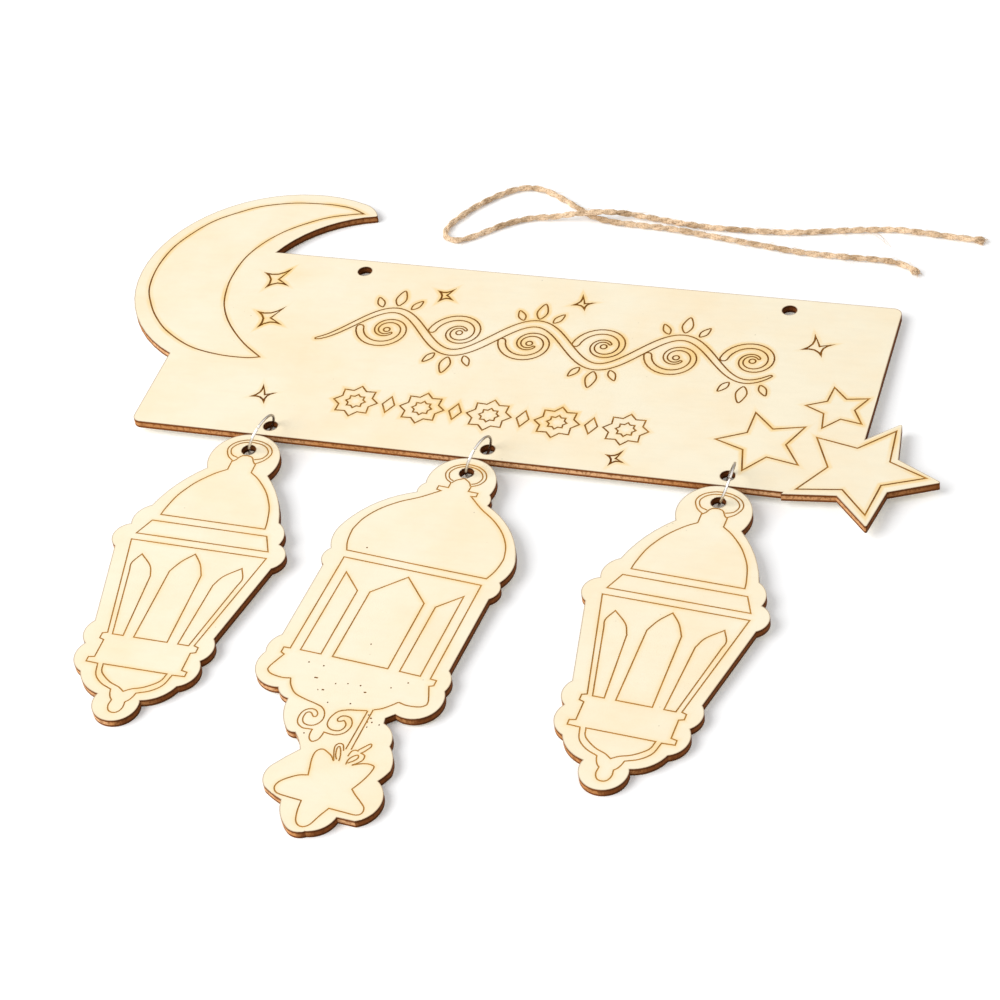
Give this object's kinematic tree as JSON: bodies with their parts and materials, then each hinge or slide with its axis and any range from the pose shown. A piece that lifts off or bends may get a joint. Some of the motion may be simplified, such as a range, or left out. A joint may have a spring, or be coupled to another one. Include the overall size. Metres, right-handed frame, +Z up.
{
  "type": "hanging ornament",
  "caption": "Laser-cut plywood sign with a crescent and a star in its outline, and fanous lantern pendants on open wire rings, hung by a length of twine",
  "frame": {"origin": "on the surface that the ornament lies on, below the middle of its outline, the twine left out", "axes": "+X along the plaque's bottom edge towards the star, +Y across the plaque towards its top edge and the twine, +Z up, out of the engraved faces"},
  "size_m": [0.2934, 0.3039, 0.0152],
  "materials": {
    "plywood": "sanded, uncoated, with laser-charred edges",
    "nickel_wire": "bright nickel plate",
    "jute_twine": "natural two-strand twist"
  },
  "bodies": {
    "plaque": {"plaque": "plywood", "hanging_cord": "jute_twine"},
    "left_ring": {"left_jump_ring": "nickel_wire"},
    "middle_ring": {"middle_jump_ring": "nickel_wire"},
    "right_ring": {"right_jump_ring": "nickel_wire"},
    "left_pendant": {"left_lantern": "plywood"},
    "middle_pendant": {"middle_lantern": "plywood"},
    "right_pendant": {"right_lantern": "plywood"}
  },
  "joints": [
    {"name": "left_ring_swing", "type": "hinge", "parent": "plaque", "child": "left_ring", "pos_m": [-0.07237, 0.0116, 0.00727], "axis": [-0.9221, 0.2328, 0.309], "range_deg": [-1, 90]},
    {"name": "middle_ring_swing", "type": "hinge", "parent": "plaque", "child": "middle_ring", "pos_m": [0.00185, 0.01192, 0.00777], "axis": [-0.9336, 0.2788, 0.2249], "range_deg": [-1, 90]},
    {"name": "right_ring_swing", "type": "hinge", "parent": "plaque", "child": "right_ring", "pos_m": [0.08269, 0.01185, 0.00756], "axis": [-0.9396, 0.0103, 0.342], "range_deg": [-1, 90]},
    {"name": "left_lantern_sway", "type": "hinge", "parent": "left_ring", "child": "left_pendant", "pos_m": [-0.07491, 0.00562, 0.00418], "axis": [0, -0.0234, 0.9997], "range_deg": [-17, 10]},
    {"name": "middle_lantern_sway", "type": "hinge", "parent": "middle_ring", "child": "middle_pendant", "pos_m": [-0.00071, 0.00623, 0.00418], "axis": [0, -0.0186, 0.9998], "range_deg": [-9, 18]},
    {"name": "right_lantern_sway", "type": "hinge", "parent": "right_ring", "child": "right_pendant", "pos_m": [0.08139, 0.00562, 0.00418], "axis": [0, -0.0235, 0.9997], "range_deg": [-14, 23]}
  ]
}
